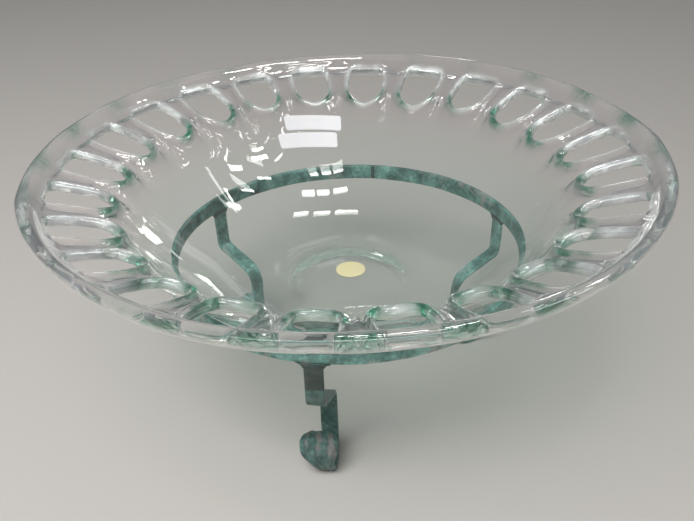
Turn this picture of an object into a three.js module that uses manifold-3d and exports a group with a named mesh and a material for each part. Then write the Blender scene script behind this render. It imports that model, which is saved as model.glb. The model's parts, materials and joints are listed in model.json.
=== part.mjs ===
// Pierced-rim glass bowl resting in a wrought-iron tripod stand.
// Millimetres, +Z up. The origin is on the table plane, on the common axis of bowl and stand;
// the front leg points roughly towards -Y. Azimuths are in degrees from +X, counter-clockwise.
// The bowl only rests in the ring of the stand and lifts straight off along +Z.
import * as THREE from 'three';
import { mergeVertices } from 'three/addons/utils/BufferGeometryUtils.js';
import Module from 'manifold-3d';

const { clamp, lerp, smoothstep } = THREE.MathUtils;
const DEG = Math.PI / 180;

// ---------------------------------------------------------------- driving dimensions
const SEGMENTS = 72; // facets round the bowl; each arc of the ring has twice as many
const CURVE_SEGMENTS = 6; // per curve of the small extruded outlines

// Rim bead of the bowl: an oval section, sheared so that its outer side is lifted.
const RIM_SECTION_R = 193.2; // radius of the section's centre
const RIM_HALF_WIDTH = 6.8;
const RIM_HALF_HEIGHT = 6.1;
const RIM_SHEAR = 0.64; // rise per millimetre outwards
const RIM_Z = 169.5;
const RIM_ARC = { from: -142, to: 158, step: 37.5 }; // degrees round the section, 0 is outwards

// Glass wall: the middle of its thickness, from the rim to the axis, as [radius, height].
const WALL_HALF_THICKNESS = 2.8;
const WALL = [
  [184.6, 164.7], [165, 158.9], [150.6, 154.3], // pierced flange
  [145.6, 150.9], // turn-down at the inner ends of the openings
  [137.6, 140.1], [126.6, 126.1], [114.9, 112.7], // bowl side
  [101, 99.2], [87.5, 88.4], [75, 82.2],
  [60, 79.3], [46, 79.4], // standing band of the base
  [36, 81.1], [25, 84.3], [11, 85.9], [0, 86], // push-up in the middle of the base
];

// Openings in the flange: U-shaped, straight across at the rim and round towards the bowl.
const OPENINGS = 24;
const OPENING_FIRST_AZ = 98.6;
const OPENING_OUTER_R = 186;
const OPENING_ROUND_R = 12.2; // radius of the round end
const OPENING_ROUND_CENTRE_R = 160.6;
const OPENING_ROUND_ARC = { from: 100, to: 260 }; // degrees
const OPENING_HALF_WIDTH = 13.8; // at the outer end
const OPENING_CORNER = 5;
const OPENING_TAPER = 0.2; // how much narrower each side is where its corner starts
const CUTTER_BELOW_RIM = 40;
const CUTTER_HEIGHT = 60;

// Stand: flat bar throughout.
const BAR_WIDTH = 11.5;
const BAR_THICKNESS = 3;
const RING_INNER_R = 117.3;
const RING_OUTER_R = RING_INNER_R + BAR_THICKNESS;
const RING_MIDDLE_R = (RING_INNER_R + RING_OUTER_R) / 2;
const RING_BOTTOM = 100;
const RING_TOP = 111;
const RING_HEIGHT = RING_TOP - RING_BOTTOM;

// Seam where the two ends of the ring's bar meet.
const SEAM_AZ = 79.3;
const SEAM_GAP = 2.4;
const SEAM_EXTRA_ANGLE = 0.0004; // radians added to each side of the gap
const SEAM_SIDE_CLEARANCE = 0.15;
const SEAM_END_INSET = 0.3; // bead stops short of the ring's top and bottom
const SEAM_CROWN = 0.7; // control point of the crown, beyond each face

// Legs: azimuth, twist of the lower part in degrees, and sideways drift of the foot.
// The stand is bent and welded by hand, so they differ.
const LEGS = {
  leg_front: { az: -100.7, twist: 5.5, skew: -5.5 },
  leg_back_left: { az: 144.3, twist: 0, skew: 0 },
  leg_back_right: { az: 21.3, twist: 0, skew: 0 },
};
const LEG_UPPER_R = RING_MIDDLE_R; // under the ring
const LEG_LOWER_R = 84; // after the S-bend
const LEG_LOWER_WIDTH = 11; // drawn out a little below it
const LOWER_PART_TOP = 42; // below this height everything belongs to the lower part
const CHANGE_INSET = { upper: 2, lower: 1 }; // radii of the S-bend's ends left unblended
const UPPER_BEND_R = 6;
const LOWER_BEND_R = 16;
const BEND_STEPS = 5;
const BEND_SLOPE = 25.5; // degrees below horizontal, between the two bends
const BEND_START = 73; // height where the first bend begins

// Rolled foot. Angles are degrees round the roll, 180 at the upright and 270 at the bottom.
const FOOT_R = 12; // middle of the bar
const FOOT_END_R = 10.6; // at its tucked-in free end
const FOOT_START = 180;
const FOOT_END = FOOT_START + 292;
const FOOT_FLAT = 8; // half angle of the flat the foot stands on
const FOOT_ROLL = { from: 296, step: 16 }; // stations after the flat
const FOOT_WIDTH = 24.2; // full width of the flare
const FOOT_FLARE = { from: 298, to: 416 };
const FOOT_DRIFT = { from: 285, to: 400 };
const FOOT_TAPER_START = 380; // from here the bar is drawn in and thinned
const FOOT_END_THINNING = 0.5;
const FOOT_WIDEST = 414; // from here the end is rounded off
const FOOT_ROUND_SPAN = 84; // angle in which the rounding would reach zero width
const GROOVE = 1; // depth of the two grooves in the flared foot
const GROOVE_FADE = { from: 286, to: 350 };
// Grooved face of the bar: [place across in half widths, depth in groove depths].
const GROOVED_FACE = [
  [1, 0.9], [0.667, 0], [0.333, 1], [0, 0], [-0.333, 1], [-0.667, 0], [-1, 0.9],
];

// Fillet welds under the ring.
const WELD_HEIGHT = 5.5;
const WELD_REACH = 4.5; // along the ring on each side of a leg
const WELD_EXTRA_DEPTH = 1.8; // radially, over the bar's thickness
const WELD_TOE = 0.7; // beyond the leg's edge at the weld's lower end
const WELD_EDGE = 0.5; // height of the flank's outer edge
const WELD_HOLLOW = { out: 1, down: 1.6 }; // control point of the hollow flank
const WELD_LEG_CLEARANCE = 0.2; // total, in width and in thickness
const WELD_CUTTER_HEIGHT = 40;

// Paper labels on the far inside wall; top and bottom are heights at [azFrom, azTo].
const LABEL_GAP = 0.35;
const LABEL_THICKNESS = 0.2;
const LABEL_STEPS = { across: 12, down: 3 };
const LABEL_UPPER = { azFrom: 90.8, azTo: 109.6, top: [146.2, 150], bottom: [136.3, 140.1] };
const LABEL_LOWER = { azFrom: 92.4, azTo: 113, top: [135.6, 139], bottom: [125.8, 129.2] };

// Round sticker in the middle of the base.
const STICKER_R = 10;
const STICKER_CENTRE = [1.2, 0];
const STICKER_SEGMENTS = 32;

// ---------------------------------------------------------------- joining and cutting
const wasm = await Module();
wasm.setup();

function toSolid(geometry) {
  const bare = new THREE.BufferGeometry()
    .setAttribute('position', geometry.attributes.position)
    .setIndex(geometry.index);
  const merged = mergeVertices(bare, 1e-4);
  const index = merged.index.array;
  const kept = [];
  for (let i = 0; i < index.length; i += 3) {
    const [a, b, c] = index.subarray(i, i + 3);
    if (a !== b && b !== c && c !== a) kept.push(a, b, c); // skips flat triangles at a pole
  }
  return new wasm.Manifold(new wasm.Mesh({
    numProp: 3,
    vertProperties: merged.attributes.position.array,
    triVerts: new Uint32Array(kept),
  }));
}

function toGeometry(solid) {
  const mesh = solid.getMesh();
  const position = new Float32Array(mesh.numVert * 3);
  for (let i = 0; i < mesh.numVert; i++) {
    const start = i * mesh.numProp;
    position.set(mesh.vertProperties.subarray(start, start + 3), i * 3);
  }
  const geometry = new THREE.BufferGeometry()
    .setAttribute('position', new THREE.BufferAttribute(position, 3))
    .setIndex(new THREE.BufferAttribute(new Uint32Array(mesh.triVerts), 1));
  geometry.computeVertexNormals();
  return geometry;
}

function extrude(shape, depth, curveSegments = CURVE_SEGMENTS) {
  return new THREE.ExtrudeGeometry(shape, { depth, bevelEnabled: false, curveSegments });
}

// Triangles filling a flat closed section, as indices into it.
function capTriangles(section) {
  const origin = section[0];
  const arms = section.map((point) => point.clone().sub(origin));
  const normal = new THREE.Vector3();
  for (let i = 1; i < arms.length; i++) {
    normal.add(arms[i].clone().cross(arms[(i + 1) % arms.length]));
  }
  const axisU = arms[1].clone().normalize();
  const axisV = normal.normalize().cross(axisU);
  const flat = arms.map((arm) => new THREE.Vector2(arm.dot(axisU), arm.dot(axisV)));
  return THREE.ShapeUtils.triangulateShape(flat, []);
}

// Closed body through a row of equal closed sections of THREE.Vector3, with flat ends.
function loft(sections) {
  const count = sections[0].length;
  const points = sections.flat();
  const index = [];
  for (let s = 0; s + 1 < sections.length; s++) {
    for (let i = 0; i < count; i++) {
      const here = s * count + i;
      const next = s * count + ((i + 1) % count);
      index.push(here, next, here + count, next, next + count, here + count);
    }
  }
  const last = points.length - count;
  for (const [a, b, c] of capTriangles(sections[0])) index.push(a, c, b);
  for (const [a, b, c] of capTriangles(sections.at(-1))) index.push(last + a, last + b, last + c);

  let volume = 0; // negative when the faces point in
  for (let i = 0; i < index.length; i += 3) {
    const [a, b, c] = index.slice(i, i + 3).map((corner) => points[corner]);
    volume += a.dot(b.clone().cross(c));
  }
  if (volume < 0) index.reverse();
  const geometry = new THREE.BufferGeometry().setFromPoints(points).setIndex(index);
  geometry.computeVertexNormals();
  return geometry;
}

// ---------------------------------------------------------------- bowl
// One surface of the wall: its middle line moved by an offset along its normal.
function wallSide(offset) {
  return WALL.map(([radius, z], i) => {
    if (i === WALL.length - 1) return new THREE.Vector2(0, z + offset); // on the axis
    const [radiusBefore, zBefore] = WALL[Math.max(0, i - 1)];
    const [radiusAfter, zAfter] = WALL[i + 1];
    const along = new THREE.Vector2(radiusAfter - radiusBefore, zAfter - zBefore).normalize();
    // The normal (along.y, -along.x) points to the inside of the bowl.
    return new THREE.Vector2(radius + along.y * offset, z - along.x * offset);
  });
}
const wallTop = wallSide(WALL_HALF_THICKNESS);
const wallUnder = wallSide(-WALL_HALF_THICKNESS);

function bowlBody() {
  const rim = [];
  for (let angle = RIM_ARC.from; angle <= RIM_ARC.to; angle += RIM_ARC.step) {
    const out = RIM_HALF_WIDTH * Math.cos(angle * DEG);
    const up = RIM_HALF_HEIGHT * Math.sin(angle * DEG);
    rim.push(new THREE.Vector2(RIM_SECTION_R + out, RIM_Z + up + RIM_SHEAR * out));
  }
  // From the axis out under the bowl, round the rim, and back along the inside.
  const profile = [...wallUnder.toReversed(), ...rim, ...wallTop];
  return new THREE.LatheGeometry(profile, SEGMENTS)
    .rotateX(Math.PI / 2)
    .rotateZ((OPENING_FIRST_AZ + 90) * DEG); // first facet edge in the middle of an opening
}

function openingCutter() {
  const half = OPENING_HALF_WIDTH;
  const outer = OPENING_OUTER_R;
  const corner = OPENING_CORNER;
  const { from, to } = OPENING_ROUND_ARC;
  const outline = new THREE.Shape()
    .absarc(OPENING_ROUND_CENTRE_R, 0, OPENING_ROUND_R, from * DEG, to * DEG, false)
    .lineTo(outer - corner, -half + OPENING_TAPER)
    .quadraticCurveTo(outer, -half, outer, -half + corner)
    .lineTo(outer, half - corner)
    .quadraticCurveTo(outer, half, outer - corner, half - OPENING_TAPER);
  return extrude(outline, CUTTER_HEIGHT).translate(0, 0, RIM_Z - CUTTER_BELOW_RIM);
}

function bowlGeometry() {
  const cutter = openingCutter();
  let solid = toSolid(bowlBody());
  for (let i = 0; i < OPENINGS; i++) {
    const azimuth = OPENING_FIRST_AZ + (i * 360) / OPENINGS;
    solid = solid.subtract(toSolid(cutter.clone().rotateZ(azimuth * DEG)));
  }
  return toGeometry(solid);
}

// Point standing a gap clear of the wall's inside, square to the wall at height z.
function pointOffWall(azimuth, z, gap) {
  const below = wallTop.findIndex((point, i) => i > 0 && wallTop[i - 1].y >= z && point.y <= z);
  const upper = wallTop[below - 1];
  const lower = wallTop[below];
  const wallRadius = lerp(upper.x, lower.x, (upper.y - z) / (upper.y - lower.y));
  const length = upper.distanceTo(lower);
  const radius = wallRadius - (gap * (upper.y - lower.y)) / length;
  const height = z + (gap * (upper.x - lower.x)) / length;
  return new THREE.Vector3(radius * Math.cos(azimuth), radius * Math.sin(azimuth), height);
}

// A thin sheet that follows the inside wall.
function labelGeometry({ azFrom, azTo, top, bottom }) {
  const { across, down } = LABEL_STEPS;
  const sections = [];
  for (let i = 0; i <= across; i++) {
    const azimuth = lerp(azFrom, azTo, i / across) * DEG;
    const zTop = lerp(...top, i / across);
    const zBottom = lerp(...bottom, i / across);
    const column = (gap) => Array.from({ length: down + 1 }, (_, j) =>
      pointOffWall(azimuth, lerp(zTop, zBottom, j / down), gap));
    sections.push([...column(LABEL_GAP), ...column(LABEL_GAP + LABEL_THICKNESS).reverse()]);
  }
  return loft(sections);
}

// ---------------------------------------------------------------- stand
function ringGeometry() {
  const halfGap = SEAM_GAP / 2 / RING_INNER_R + SEAM_EXTRA_ANGLE;
  const from = SEAM_AZ * DEG + halfGap;
  const to = SEAM_AZ * DEG + 2 * Math.PI - halfGap;
  const band = new THREE.Shape()
    .absarc(0, 0, RING_OUTER_R, from, to, false)
    .absarc(0, 0, RING_INNER_R, to, from, true);
  return extrude(band, RING_HEIGHT, SEGMENTS).translate(0, 0, RING_BOTTOM);
}

// Weld bead in the gap between the ring's two ends, crowned on both faces.
function seamGeometry() {
  const side = SEAM_GAP / 2 - SEAM_SIDE_CLEARANCE;
  const face = BAR_THICKNESS / 2;
  const crown = face + SEAM_CROWN;
  const section = new THREE.Shape()
    .moveTo(-face, -side)
    .lineTo(face, -side)
    .quadraticCurveTo(crown, 0, face, side)
    .lineTo(-face, side)
    .quadraticCurveTo(-crown, 0, -face, -side);
  return extrude(section, RING_HEIGHT - 2 * SEAM_END_INSET)
    .translate(RING_MIDDLE_R, 0, RING_BOTTOM + SEAM_END_INSET)
    .rotateZ(SEAM_AZ * DEG);
}

// A cross-section of the bar: its middle at radius and z, and the bar's direction there.
// "lower" runs from 0 above the S-bend to 1 below it.
function station(radius, z, alongR, alongZ, foot = {}) {
  const { upper: insetUpper, lower: insetLower } = CHANGE_INSET;
  const changeEnd = LEG_UPPER_R - LEG_LOWER_R - insetLower;
  const lower = z < LOWER_PART_TOP ? 1 : smoothstep(LEG_UPPER_R - radius, insetUpper, changeEnd);
  return {
    radius,
    z,
    along: new THREE.Vector2(alongR, alongZ).normalize(),
    lower,
    width: lerp(BAR_WIDTH, LEG_LOWER_WIDTH, lower),
    thickness: BAR_THICKNESS,
    groove: 0,
    drift: 0,
    ...foot,
  };
}

function footStation(angle, centreR, centreZ) {
  const taper = clamp((angle - FOOT_TAPER_START) / (FOOT_END - FOOT_TAPER_START), 0, 1);
  const flare = smoothstep(angle, FOOT_FLARE.from, FOOT_FLARE.to);
  const pastWidest = Math.max(0, angle - FOOT_WIDEST) / FOOT_ROUND_SPAN;
  const rollR = lerp(FOOT_R, FOOT_END_R, taper);
  const cos = Math.cos(angle * DEG);
  const sin = Math.sin(angle * DEG);
  return station(centreR + rollR * cos, centreZ + rollR * sin, -sin, cos, {
    width: lerp(LEG_LOWER_WIDTH, FOOT_WIDTH, flare) * Math.sqrt(1 - pastWidest ** 2),
    thickness: BAR_THICKNESS - FOOT_END_THINNING * taper,
    groove: GROOVE * smoothstep(angle, GROOVE_FADE.from, GROOVE_FADE.to),
    drift: smoothstep(angle, FOOT_DRIFT.from, FOOT_DRIFT.to),
  });
}

// Stations along a leg, from the ring down to the free end of the foot.
function legStations() {
  const turn = (90 - BEND_SLOPE) * DEG;
  const bendStation = (bendR, angle, radius, z) =>
    station(radius + bendR * (1 - Math.cos(angle)), z, -Math.sin(angle), -Math.cos(angle));
  const stations = [
    station(LEG_UPPER_R, RING_BOTTOM, 0, -1),
    station(LEG_UPPER_R, (RING_BOTTOM + BEND_START) / 2, 0, -1),
  ];
  for (let i = 0; i <= BEND_STEPS; i++) { // first bend, towards the axis
    const angle = (turn * i) / BEND_STEPS;
    const radius = LEG_UPPER_R - 2 * UPPER_BEND_R * (1 - Math.cos(angle));
    const z = BEND_START - UPPER_BEND_R * Math.sin(angle);
    stations.push(bendStation(UPPER_BEND_R, angle, radius, z));
  }
  const end = stations.at(-1);
  const startR = LEG_LOWER_R + LOWER_BEND_R * (1 - Math.cos(turn)); // start of the second bend
  const startZ = end.z - (end.radius - startR) * Math.tan(BEND_SLOPE * DEG);
  const middle = [(end.radius + startR) / 2, (end.z + startZ) / 2];
  stations.push(station(...middle, startR - end.radius, startZ - end.z));
  for (let i = 0; i <= BEND_STEPS; i++) { // second bend, back to straight down
    const angle = turn * (1 - i / BEND_STEPS);
    const z = startZ - LOWER_BEND_R * (Math.sin(turn) - Math.sin(angle));
    stations.push(bendStation(LOWER_BEND_R, angle, LEG_LOWER_R, z));
  }
  const centreR = LEG_LOWER_R + FOOT_R;
  const centreZ = (FOOT_R + BAR_THICKNESS / 2) * Math.cos(FOOT_FLAT * DEG); // flat at z = 0
  stations.push(station(LEG_LOWER_R, (stations.at(-1).z + centreZ) / 2, 0, -1));

  const angles = [FOOT_START, 200, 220, 240, 270 - FOOT_FLAT, 270 + FOOT_FLAT];
  for (let a = FOOT_ROLL.from; a < FOOT_END; a += FOOT_ROLL.step) angles.push(a);
  angles.push(FOOT_END);
  return [...stations, ...angles.map((angle) => footStation(angle, centreR, centreZ))];
}

function legGeometry(twist, skew) {
  return loft(legStations().map(({ radius, z, along, lower, width, thickness, groove, drift }) => {
    const halfWidth = width / 2;
    const half = thickness / 2;
    const outline = [ // across the bar, and out of its grooved face
      [-halfWidth, -half],
      [halfWidth, -half],
      ...GROOVED_FACE.map(([place, depth]) => [halfWidth * place, half - groove * depth]),
    ];
    const cos = Math.cos(twist * lower * DEG); // twisted about the upright of the lower part
    const sin = Math.sin(twist * lower * DEG);
    return outline.map(([across, out]) => {
      const x = radius + along.y * out - LEG_LOWER_R;
      const y = across + skew * drift;
      return new THREE.Vector3(
        LEG_LOWER_R + x * cos - y * sin,
        x * sin + y * cos,
        z - along.x * out,
      );
    });
  }));
}

// Fillet weld round the top of a leg: a block with hollowed flanks, cut away for the leg.
function weldGeometry() {
  const half = BAR_WIDTH / 2;
  const depth = BAR_THICKNESS + WELD_EXTRA_DEPTH;
  const toe = half + WELD_TOE;
  const reach = half + WELD_REACH;
  const hollow = half + WELD_HOLLOW.out;
  const flanks = new THREE.Shape()
    .moveTo(-toe, -WELD_HEIGHT)
    .lineTo(toe, -WELD_HEIGHT)
    .quadraticCurveTo(hollow, -WELD_HOLLOW.down, reach, -WELD_EDGE)
    .lineTo(reach, 0)
    .lineTo(-reach, 0)
    .lineTo(-reach, -WELD_EDGE)
    .quadraticCurveTo(-hollow, -WELD_HOLLOW.down, -toe, -WELD_HEIGHT);
  const block = extrude(flanks, depth)
    .translate(0, 0, -depth / 2)
    .rotateX(Math.PI / 2)
    .rotateZ(Math.PI / 2)
    .translate(LEG_UPPER_R, 0, RING_BOTTOM);
  const leg = new THREE.BoxGeometry(
    BAR_THICKNESS + WELD_LEG_CLEARANCE,
    BAR_WIDTH + WELD_LEG_CLEARANCE,
    WELD_CUTTER_HEIGHT,
  ).translate(LEG_UPPER_R, 0, RING_BOTTOM);
  return toGeometry(toSolid(block).subtract(toSolid(leg)));
}

// ---------------------------------------------------------------- assembly
const MATERIALS = {
  glass: {
    color: 0xcfe3dc, roughness: 0.05, metalness: 0,
    transparent: true, opacity: 0.35, side: THREE.DoubleSide,
  },
  iron: { color: 0x37524e, roughness: 0.55, metalness: 0.2 },
  weldIron: { color: 0x22302f, roughness: 0.5, metalness: 0.2 },
  paper: { color: 0xeef2f6, roughness: 0.7, metalness: 0 },
  sticker: { color: 0xded9a6, roughness: 0.6, metalness: 0 },
};

function named(name, geometry, material) {
  const mesh = new THREE.Mesh(geometry, new THREE.MeshStandardMaterial(MATERIALS[material]));
  mesh.name = name;
  return mesh;
}

function stickerMesh() {
  const disc = new THREE.CylinderGeometry(STICKER_R, STICKER_R, LABEL_THICKNESS, STICKER_SEGMENTS);
  const mesh = named('base_sticker', disc, 'sticker');
  mesh.rotation.x = Math.PI / 2;
  mesh.position.set(...STICKER_CENTRE, wallTop.at(-1).y + LABEL_GAP + LABEL_THICKNESS / 2);
  return mesh;
}

const stand = new THREE.Group();
stand.add(named('stand_ring', ringGeometry(), 'iron'));
stand.add(named('ring_butt_weld', seamGeometry(), 'weldIron'));
for (const [name, { az, twist, skew }] of Object.entries(LEGS)) {
  const place = new THREE.Group();
  place.rotation.z = az * DEG;
  place.add(named(name, legGeometry(twist, skew), 'iron'));
  place.add(named(name.replace('leg', 'weld'), weldGeometry(), 'weldIron'));
  stand.add(place);
}

const bowl = new THREE.Group();
bowl.add(named('glass_bowl', bowlGeometry(), 'glass'));
bowl.add(named('label_upper', labelGeometry(LABEL_UPPER), 'paper'));
bowl.add(named('label_lower', labelGeometry(LABEL_LOWER), 'paper'));
bowl.add(stickerMesh());

const root = new THREE.Group();
root.add(stand, bowl);
export default root;
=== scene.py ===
"""A recycled-glass bowl with a pierced rim, on a wrought-iron tripod stand.

The bowl's axis is Z, the feet stand on z = 0, and the camera looks from -Y towards +Y with +X
to its right. The shape code works in millimetres, the scene in metres. Azimuths run from +X
towards +Y.
"""
import json
import math
from collections import namedtuple

import bmesh
import bpy
import numpy as np
from mathutils import Matrix, Vector

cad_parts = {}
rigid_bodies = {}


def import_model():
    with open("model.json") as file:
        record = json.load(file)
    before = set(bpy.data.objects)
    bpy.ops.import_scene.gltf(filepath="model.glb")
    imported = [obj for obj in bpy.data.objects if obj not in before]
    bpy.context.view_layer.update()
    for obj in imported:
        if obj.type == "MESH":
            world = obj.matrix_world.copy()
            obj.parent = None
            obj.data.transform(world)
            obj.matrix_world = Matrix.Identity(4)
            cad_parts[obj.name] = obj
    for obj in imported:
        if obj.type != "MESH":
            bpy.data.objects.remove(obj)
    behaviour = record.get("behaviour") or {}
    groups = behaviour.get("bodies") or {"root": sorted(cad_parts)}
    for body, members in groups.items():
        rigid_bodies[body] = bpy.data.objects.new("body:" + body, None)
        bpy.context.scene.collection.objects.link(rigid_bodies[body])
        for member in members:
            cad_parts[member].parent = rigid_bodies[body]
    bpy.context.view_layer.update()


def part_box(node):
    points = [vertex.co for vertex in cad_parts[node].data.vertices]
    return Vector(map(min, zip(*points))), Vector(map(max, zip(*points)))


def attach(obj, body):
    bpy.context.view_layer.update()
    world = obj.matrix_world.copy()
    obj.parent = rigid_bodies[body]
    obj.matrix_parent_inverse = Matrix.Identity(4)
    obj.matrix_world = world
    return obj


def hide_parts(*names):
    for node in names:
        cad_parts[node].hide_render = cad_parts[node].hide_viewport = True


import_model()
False  # the quick build is the same as the full one

MM = 0.001
RNG = np.random.default_rng(7)

# ------------------------------------------------------------------ driving sizes
ring_lo, ring_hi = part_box("stand_ring")
bowl_lo, bowl_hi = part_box("glass_bowl")
seam_lo, seam_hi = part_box("ring_butt_weld")
sticker_lo, sticker_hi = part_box("base_sticker")

BAR_T = 3.0  # thickness of the flat iron bar
RING_BOTTOM, RING_TOP = ring_lo.z / MM, ring_hi.z / MM
RING_H = RING_TOP - RING_BOTTOM
RING_OUT = ring_hi.x / MM
RING_IN = RING_OUT - BAR_T
RING_MID = (RING_IN + RING_OUT) / 2
SEAM_AZ = math.atan2((seam_lo.y + seam_hi.y) / 2, (seam_lo.x + seam_hi.x) / 2)
RIM_Z = bowl_hi.z / MM - 7.49  # the rim section's highest point is 7.49 above its centre
BOWL_LIFT = RIM_Z - 169.5  # zero unless the CAD part is moved up or down

# azimuth and twist of the lower part in degrees, sideways drift of the foot in mm
LEGS = {
    "leg_front": (-100.7, 5.5, -5.5),
    "leg_back_left": (144.3, 0.0, 0.0),
    "leg_back_right": (21.3, 0.0, 0.0),
}


# ------------------------------------------------------------------ maths
def smooth(x, start, end):
    """0 before start, 1 after end, with an S-curve between."""
    t = np.clip((np.asarray(x, float) - start) / (end - start), 0, 1)
    return t * t * (3 - 2 * t)


def bell(offset, width):
    return np.exp(-(offset / width) ** 2)


def soft_max(a, b, blend=0.9):
    gap = a - b
    return 0.5 * (a + b + np.sqrt(gap * gap + blend * blend))


def turn_about_z(x, y, angle):
    c, s = math.cos(angle), math.sin(angle)
    return x * c - y * s, x * s + y * c


def smooth_curve(points, per_span):
    """A dense centripetal Catmull-Rom curve through the points."""
    def blend(t, t_a, a, t_b, b):
        return (t_b - t) / (t_b - t_a) * a + (t - t_a) / (t_b - t_a) * b

    p = np.asarray(points, float)
    p = np.vstack([2 * p[0] - p[1], p, 2 * p[-1] - p[-2]])
    spans = []
    for i in range(1, len(p) - 2):
        p0, p1, p2, p3 = p[i - 1:i + 3]
        t0 = 0.0
        t1 = t0 + np.linalg.norm(p1 - p0) ** 0.5
        t2 = t1 + np.linalg.norm(p2 - p1) ** 0.5
        t3 = t2 + np.linalg.norm(p3 - p2) ** 0.5
        t = np.linspace(t1, t2, per_span, endpoint=False)[:, None]
        a1 = blend(t, t0, p0, t1, p1)
        a2 = blend(t, t1, p1, t2, p2)
        a3 = blend(t, t2, p2, t3, p3)
        b1 = blend(t, t0, a1, t2, a2)
        b2 = blend(t, t1, a2, t3, a3)
        spans.append(blend(t, t1, b1, t2, b2))
    spans.append(p[-2][None])
    return np.vstack(spans)


# ------------------------------------------------------------------ meshes
def shade_smooth(mesh):
    mesh.polygons.foreach_set("use_smooth", np.ones(len(mesh.polygons), bool))


def add_object(name, mesh):
    ob = bpy.data.objects.new(name, mesh)
    bpy.context.scene.collection.objects.link(ob)
    return ob


def add_subdivision(ob):
    modifier = ob.modifiers.new("sub", "SUBSURF")
    modifier.levels = modifier.render_levels = 1


def add_attribute(mesh, name, values):
    layer = mesh.attributes.new(name, "FLOAT", "POINT")
    layer.data.foreach_set("value", np.asarray(values, np.float32))


def fill_mesh(mesh, verts_mm, faces):
    verts = (np.asarray(verts_mm, float) * MM).tolist()
    mesh.from_pydata(verts, [], [list(map(int, face)) for face in faces])


def add_piece(name, verts_mm, faces, body, node, material, subdivide=False):
    mesh = bpy.data.meshes.new(name)
    fill_mesh(mesh, verts_mm, faces)
    mesh.validate()
    mesh.update()
    ob = add_object(name, mesh)
    shade_smooth(mesh)
    if subdivide:
        add_subdivision(ob)
    mesh.materials.append(material)
    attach(ob, body)
    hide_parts(node)
    return ob


def face_outward(mesh):
    """Splits end caps into triangles and turns all faces outward."""
    bm = bmesh.new()
    bm.from_mesh(mesh)
    caps = [face for face in bm.faces if len(face.verts) > 4]
    bmesh.ops.triangulate(bm, faces=caps)
    bmesh.ops.recalc_face_normals(bm, faces=bm.faces)
    bm.to_mesh(mesh)
    bm.free()
    shade_smooth(mesh)


def wound_outward(verts, faces):
    """The faces, all turned round if the closed mesh is inside out."""
    v = np.asarray(verts, float)
    volume = 0.0
    for face in faces:
        for i in range(1, len(face) - 1):
            volume += np.dot(v[face[0]], np.cross(v[face[i]], v[face[i + 1]]))
    return [face[::-1] for face in faces] if volume < 0 else faces


def loft_faces(n_rows, n_across):
    """Quads of a tube whose closed rows of points follow one another."""
    faces = []
    for i in range(n_rows - 1):
        here, ahead = i * n_across, (i + 1) * n_across
        for j in range(n_across):
            k = (j + 1) % n_across
            faces.append((here + j, here + k, ahead + k, ahead + j))
    return faces


def capped_loft_faces(n_rows, n_across):
    faces = loft_faces(n_rows, n_across)
    for row in (0, n_rows - 1):
        faces.append(tuple(row * n_across + j for j in range(n_across)))
    return faces


# ------------------------------------------------------------------ shader nodes
class Nodes:
    """Builds one shader tree. An input takes a value, or the output socket that feeds it."""

    def __init__(self, owner):
        owner.use_nodes = True
        self.tree = owner.node_tree
        self.tree.nodes.clear()

    def node(self, kind, inputs=None, **settings):
        node = self.tree.nodes.new("ShaderNode" + kind)
        for name, value in settings.items():
            setattr(node, name, value)
        for name, value in (inputs or {}).items():
            if isinstance(value, bpy.types.NodeSocket):
                self.tree.links.new(value, node.inputs[name])
            else:
                node.inputs[name].default_value = value
        return node

    def add(self, kind, inputs=None, output=0, **settings):
        return self.node(kind, inputs, **settings).outputs[output]

    def attribute(self, name):
        return self.add("Attribute", output="Fac", attribute_name=name)

    def noise(self, coords, scale, detail, roughness=0.5, distortion=0.0):
        return self.add("TexNoise", {"Vector": coords, "Scale": scale, "Detail": detail,
                                     "Roughness": roughness, "Distortion": distortion})

    def remap(self, value, source=(0, 1), target=(0, 1)):
        return self.add("MapRange", {"Value": value, "From Min": source[0],
                                     "From Max": source[1], "To Min": target[0],
                                     "To Max": target[1]})

    def math(self, operation, *values, clamp=False):
        return self.add("Math", dict(enumerate(values)), operation=operation, use_clamp=clamp)

    def mix_colour(self, factor, first, second, blend="MIX"):
        # the colour sockets of the Mix node are inputs 6 and 7 and output 2
        return self.add("Mix", {0: factor, 6: first, 7: second}, output=2,
                        data_type="RGBA", blend_type=blend)

    def mix_shader(self, factor, first, second):
        return self.add("MixShader", {"Fac": factor, 1: first, 2: second})

    def ramp(self, factor, stops):
        """A colour ramp; a stop is (position, colour)."""
        node = self.node("ValToRGB", {"Fac": factor})
        elements = node.color_ramp.elements
        elements[0].position, elements[0].color = stops[0]
        elements[1].position, elements[1].color = stops[-1]
        for position, colour in stops[1:-1]:
            elements.new(position).color = colour
        return node.outputs["Color"]

    def bump(self, height, strength, distance, **inputs):
        return self.add("Bump", {"Height": height, "Strength": strength,
                                 "Distance": distance, **inputs})


def new_material(name):
    material = bpy.data.materials.new(name)
    return material, Nodes(material)


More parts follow.
